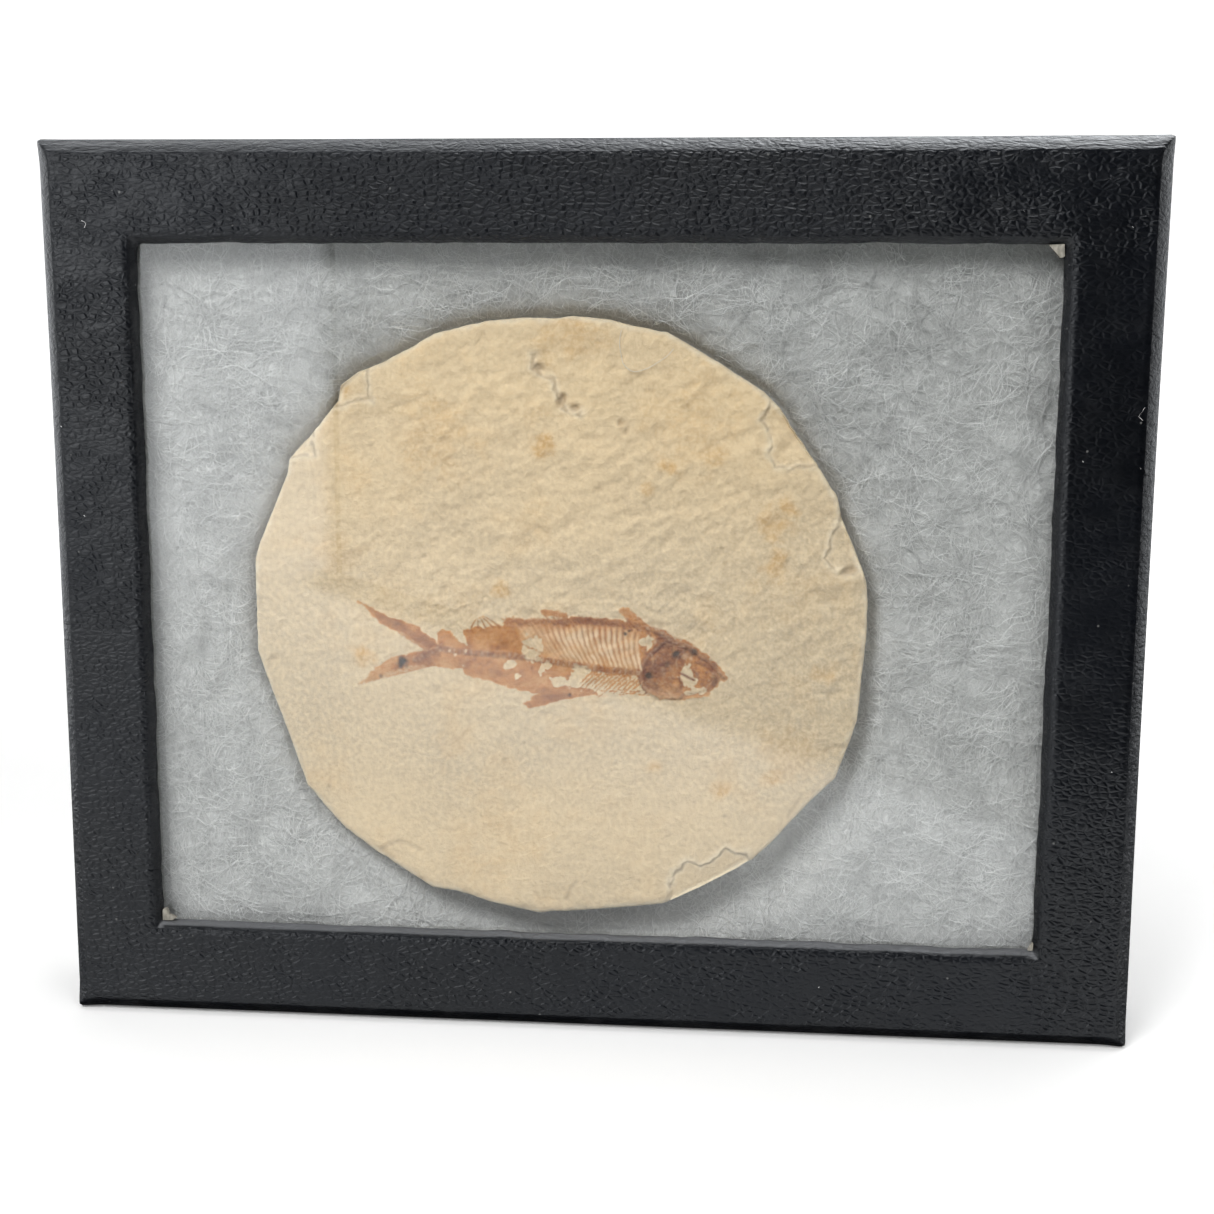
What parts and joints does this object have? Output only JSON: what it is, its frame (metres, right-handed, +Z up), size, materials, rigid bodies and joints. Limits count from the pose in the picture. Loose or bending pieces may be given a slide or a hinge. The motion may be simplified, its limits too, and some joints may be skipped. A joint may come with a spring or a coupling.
{
  "type": "fossil fish",
  "caption": "Small fossil fish on a chipped round limestone slab, on batting behind the glass of a black leatherette display case that stands on its long edge.",
  "frame": {"origin": "middle of the footprint of the lower long wall, on which the case stands", "axes": "+Z is up, +X runs along the width with the tail towards -X and the snout towards +X, and -Y is the way the window faces"},
  "size_m": [0.14, 0.019, 0.115],
  "materials": {
    "leatherette": "black embossed leatherette paper over board, satin, fine wrinkled grain",
    "pane": "clear flat window glass",
    "black_board": "black paper-covered board, matte",
    "polyester": "white polyester batting, felted and curly, matte",
    "limestone": "cream split limestone, matte, with red-brown fossil bone"
  },
  "bodies": {
    "root": {"lid": "leatherette", "glass": "pane", "tray": "black_board", "batting": "polyester", "slab": "limestone"}
  },
  "joints": []
}
